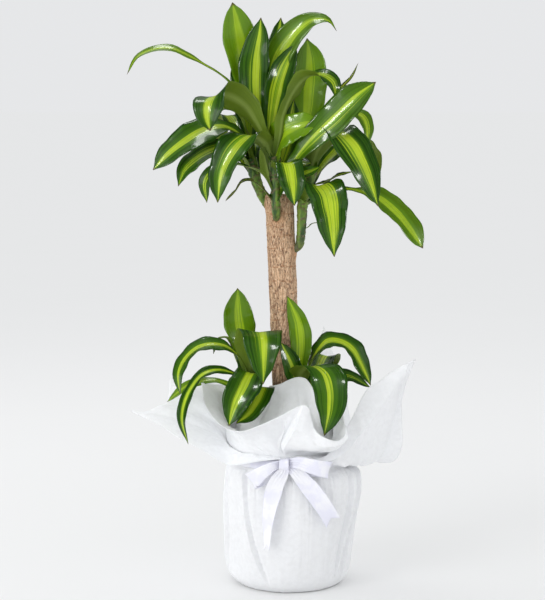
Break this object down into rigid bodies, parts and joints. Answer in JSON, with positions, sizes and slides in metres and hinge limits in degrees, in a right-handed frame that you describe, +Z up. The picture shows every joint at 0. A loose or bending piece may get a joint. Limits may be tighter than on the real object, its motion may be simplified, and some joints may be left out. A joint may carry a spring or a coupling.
{
  "type": "potted dracaena",
  "caption": "Corn plant: woody cane with leafy shoots at its crown and foot, in a nursery pot dressed in gathered white fleece and tied with a satin bow.",
  "frame": {"origin": "centre of the flat underside of the wrapped pot, on the pot's axis", "axes": "+Z up along the pot's axis, -Y towards the ribbon bow, +X to the viewer's right when the bow faces the viewer"},
  "size_m": [0.3883, 0.2628, 0.7653],
  "materials": {
    "pot_plastic": "matt moulded nursery plastic, brown",
    "potting_mix": "dark crumbly potting mix",
    "bark": "dry fissured bark, tan",
    "leaf": "waxy, dark green with a yellow-green band down the middle",
    "fleece": "white non-woven florist's fleece",
    "satin": "white satin ribbon with a lavender shade"
  },
  "bodies": {
    "root": {"pot": "pot_plastic", "soil": "potting_mix", "cane": "bark", "crown_shoot_front": "leaf", "crown_shoot_left": "leaf", "crown_shoot_right": "leaf", "low_shoot_left": "leaf", "low_shoot_right": "leaf", "wrap_outer": "fleece", "wrap_inner": "fleece", "wrap_lining": "fleece", "ribbon_band": "satin", "ribbon_bow": "satin"}
  },
  "joints": []
}
